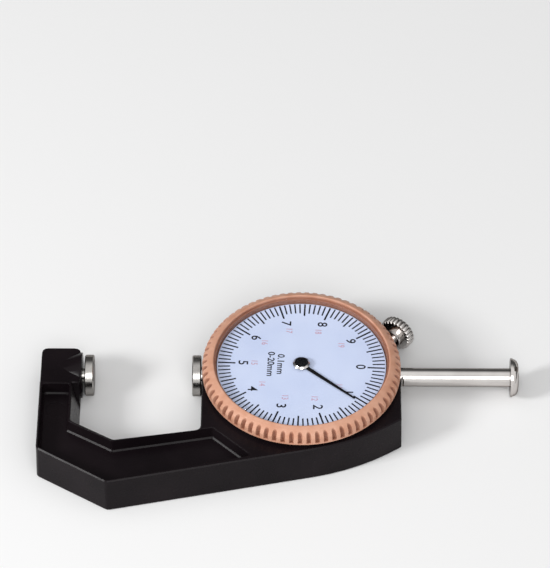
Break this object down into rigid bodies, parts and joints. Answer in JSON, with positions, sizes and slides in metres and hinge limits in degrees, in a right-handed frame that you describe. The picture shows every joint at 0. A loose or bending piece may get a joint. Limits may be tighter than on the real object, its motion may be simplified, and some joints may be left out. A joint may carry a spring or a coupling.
{
  "type": "dial thickness gauge",
  "caption": "Dial thickness gauge with a C-shaped moulded frame, round anvils on a sliding spindle, a fluted turning bezel and a knurled lock screw.",
  "frame": {"origin": "on the flat back of the rear cover, where the dial's axis meets it", "axes": "+X along the spindle towards its button, +Y away from the throat's closed side, +Z out through the dial"},
  "size_m": [0.1023, 0.0522, 0.0134],
  "materials": {
    "moulded_case": "glossy black moulding",
    "ground_steel": "fine ground",
    "chrome_plate": "polished plate",
    "turned_brass": "turned",
    "spring_steel": "drawn wire",
    "bezel_plastic": "satin copper-coloured moulding",
    "dial_paint": "matt pale enamel, printed",
    "clear_acrylic": "clear, polished",
    "pointer_paint": "black, semi-gloss"
  },
  "bodies": {
    "case": {"frame": "moulded_case", "rear_cover": "moulded_case", "rear_cover_screw_1": "ground_steel", "rear_cover_screw_2": "ground_steel", "rear_cover_screw_3": "ground_steel", "bezel_retaining_wire": "spring_steel", "spindle_bush_front": "turned_brass", "spindle_bush_rear": "turned_brass", "fixed_anvil": "ground_steel", "movement_bridge": "turned_brass", "bridge_screw_1": "ground_steel", "bridge_screw_2": "ground_steel", "pinion_bush": "turned_brass", "guide_plate": "ground_steel", "guide_plate_screw_1": "ground_steel", "guide_plate_screw_2": "ground_steel", "spring_post": "ground_steel", "return_spring": "spring_steel", "hairspring_stud": "turned_brass", "hairspring": "spring_steel"},
    "spindle_set": {"spindle": "chrome_plate", "moving_anvil": "ground_steel", "spindle_button": "chrome_plate", "guide_pin": "ground_steel"},
    "pinion_set": {"pinion_arbor": "ground_steel", "pointer": "pointer_paint", "pointer_cap": "pointer_paint"},
    "backlash_set": {"backlash_gear": "turned_brass", "backlash_arbor": "ground_steel"},
    "bezel_set": {"bezel": "bezel_plastic", "dial_plate": "dial_paint", "crystal": "clear_acrylic"},
    "lock": {"lock_screw": "chrome_plate"}
  },
  "joints": [
    {"name": "spindle_slide", "type": "slide", "parent": "case", "child": "spindle_set", "axis": [1, 0, 0], "range_m": [-0.02106, 0], "deforming": ["return_spring"]},
    {"name": "pinion_turn", "type": "hinge", "parent": "case", "child": "pinion_set", "pos_m": [0, 0, 0.0042], "axis": [0, 0, 1], "range_deg": [0, 758.2]},
    {"name": "backlash_turn", "type": "hinge", "parent": "case", "child": "backlash_set", "pos_m": [0, -0.00637, 0.0035], "axis": [0, 0, 1], "range_deg": [-252.8, 0]},
    {"name": "bezel_turn", "type": "hinge", "parent": "case", "child": "bezel_set", "pos_m": [0, 0, 0.0115], "axis": [0, 0, 1], "continuous": true},
    {"name": "lock_screw_turn", "type": "hinge", "parent": "case", "child": "lock", "pos_m": [0.01754, 0.01144, 0.0046], "axis": [0.5592, 0.829, 0], "range_deg": [-180, 0]}
  ],
  "couplings": [
    {"joint": "pinion_turn", "follows": "spindle_slide", "rad_per_m": -628.32},
    {"joint": "backlash_turn", "follows": "spindle_slide", "rad_per_m": 209.44}
  ]
}
